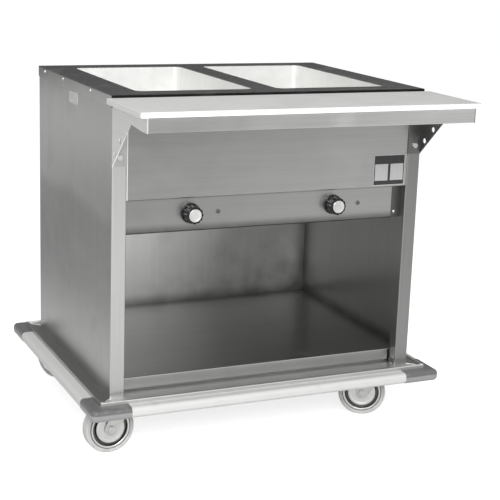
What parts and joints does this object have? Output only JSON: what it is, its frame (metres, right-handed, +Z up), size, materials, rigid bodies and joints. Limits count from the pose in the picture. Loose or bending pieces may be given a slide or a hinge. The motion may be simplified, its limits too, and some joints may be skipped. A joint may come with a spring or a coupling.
{
  "type": "hot food trolley",
  "caption": "Mobile hot-food table with open pan wells, a front cutting board on brackets, a knob panel, open storage below and a bumper base on swivel casters.",
  "frame": {"origin": "on the floor, in the middle of the footprint of the board and the bumpers", "axes": "+X to the right of the user, +Y from the work board to the back, +Z up"},
  "size_m": [0.968, 0.9412, 0.896],
  "materials": {
    "stainless": "brushed stainless sheet, satin",
    "top_stainless": "heavy stainless top, fine satin, reads darker",
    "well_galvanised": "bright galvanised sheet",
    "board_white": "white polyethylene, faint knife marks",
    "knob_black": "black moulded phenolic",
    "cap_bright": "spun aluminium disc",
    "bumper_grey": "pale grey vinyl",
    "corner_grey": "dark grey moulded vinyl",
    "zinc_steel": "zinc plated steel",
    "screw_bright": "bright stainless fastener",
    "tyre_grey": "non-marking grey tread",
    "wheel_bright": "bright wheel core",
    "element_steel": "heat-darkened sheath",
    "insulation": "glass fibre slab",
    "control_body": "black moulded control body",
    "lamp_lens": "dark red lens, unlit",
    "lamp_bezel": "black collar",
    "plate_blank": "bare thin plate",
    "tag_blank": "bare pale tag",
    "gland_black": "black nylon gland"
  },
  "bodies": {
    "cabinet": {"side_panel_left": "stainless", "side_panel_right": "stainless", "back_panel": "stainless", "bottom_shelf": "stainless", "compartment_ceiling": "stainless", "front_apron": "stainless", "control_panel": "stainless", "panel_end_strip": "stainless", "control_box": "zinc_steel", "top_sheet": "top_stainless", "well_liner_left": "well_galvanised", "well_liner_right": "well_galvanised", "heating_element_left": "element_steel", "heating_element_right": "element_steel", "well_insulation": "insulation", "element_trays": "zinc_steel", "heat_control_left": "control_body", "heat_control_right": "control_body", "lamp_lenses": "lamp_lens", "lamp_bezels": "lamp_bezel", "board_shelf": "stainless", "board_studs": "screw_bright", "bracket_left": "stainless", "bracket_right": "stainless", "bracket_bolts": "screw_bright", "rim_screws": "screw_bright", "end_strip_screw": "screw_bright", "base_rail_front": "stainless", "base_rail_back": "stainless", "base_rail_left": "stainless", "base_rail_right": "stainless", "bumper_front": "bumper_grey", "bumper_back": "bumper_grey", "bumper_left": "bumper_grey", "bumper_right": "bumper_grey", "bumper_corners": "corner_grey", "caster_plates": "zinc_steel", "caster_studs": "zinc_steel", "info_plate": "plate_blank", "side_tag": "tag_blank", "cord_gland": "gland_black"},
    "work_board": {"cutting_board": "board_white"},
    "turning_knob_left": {"knob_left": "knob_black", "knob_cap_left": "cap_bright", "knob_shaft_left": "zinc_steel"},
    "turning_knob_right": {"knob_right": "knob_black", "knob_cap_right": "cap_bright", "knob_shaft_right": "zinc_steel"},
    "caster_front_left": {"caster_fork_front_left": "zinc_steel"},
    "wheel_front_left": {"caster_tyre_front_left": "tyre_grey", "caster_hub_front_left": "wheel_bright"},
    "caster_front_right": {"caster_fork_front_right": "zinc_steel"},
    "wheel_front_right": {"caster_tyre_front_right": "tyre_grey", "caster_hub_front_right": "wheel_bright"},
    "caster_rear_left": {"caster_fork_rear_left": "zinc_steel"},
    "wheel_rear_left": {"caster_tyre_rear_left": "tyre_grey", "caster_hub_rear_left": "wheel_bright"},
    "caster_rear_right": {"caster_fork_rear_right": "zinc_steel"},
    "wheel_rear_right": {"caster_tyre_rear_right": "tyre_grey", "caster_hub_rear_right": "wheel_bright"}
  },
  "joints": [
    {"name": "board_lift", "type": "slide", "parent": "cabinet", "child": "work_board", "axis": [0, 0, 1], "range_m": [0, 0.1]},
    {"name": "knob_left_turn", "type": "hinge", "parent": "cabinet", "child": "turning_knob_left", "pos_m": [-0.214, -0.2174, 0.604], "axis": [0, 1, 0], "range_deg": [0, 300]},
    {"name": "knob_right_turn", "type": "hinge", "parent": "cabinet", "child": "turning_knob_right", "pos_m": [0.176, -0.2174, 0.604], "axis": [0, 1, 0], "range_deg": [0, 300]},
    {"name": "swivel_front_left", "type": "hinge", "parent": "cabinet", "child": "caster_front_left", "pos_m": [-0.364, -0.1814, 0.13], "axis": [0, 0, 1], "continuous": true},
    {"name": "roll_front_left", "type": "hinge", "parent": "caster_front_left", "child": "wheel_front_left", "pos_m": [-0.40789, -0.18447, 0.0635], "axis": [-0.0698, 0.9976, 0], "continuous": true},
    {"name": "swivel_front_right", "type": "hinge", "parent": "cabinet", "child": "caster_front_right", "pos_m": [0.364, -0.1814, 0.13], "axis": [0, 0, 1], "continuous": true},
    {"name": "roll_front_right", "type": "hinge", "parent": "caster_front_right", "child": "wheel_front_right", "pos_m": [0.32515, -0.16074, 0.0635], "axis": [0.4695, 0.8829, 0], "continuous": true},
    {"name": "swivel_rear_left", "type": "hinge", "parent": "cabinet", "child": "caster_rear_left", "pos_m": [-0.364, 0.3576, 0.13], "axis": [0, 0, 1], "continuous": true},
    {"name": "roll_rear_left", "type": "hinge", "parent": "caster_rear_left", "child": "wheel_rear_left", "pos_m": [-0.38048, 0.3984, 0.0635], "axis": [0.9272, 0.3746, 0], "continuous": true},
    {"name": "swivel_rear_right", "type": "hinge", "parent": "cabinet", "child": "caster_rear_right", "pos_m": [0.364, 0.3576, 0.13], "axis": [0, 0, 1], "continuous": true},
    {"name": "roll_rear_right", "type": "hinge", "parent": "caster_rear_right", "child": "wheel_rear_right", "pos_m": [0.3215, 0.36899, 0.0635], "axis": [0.2588, 0.9659, 0], "continuous": true}
  ]
}
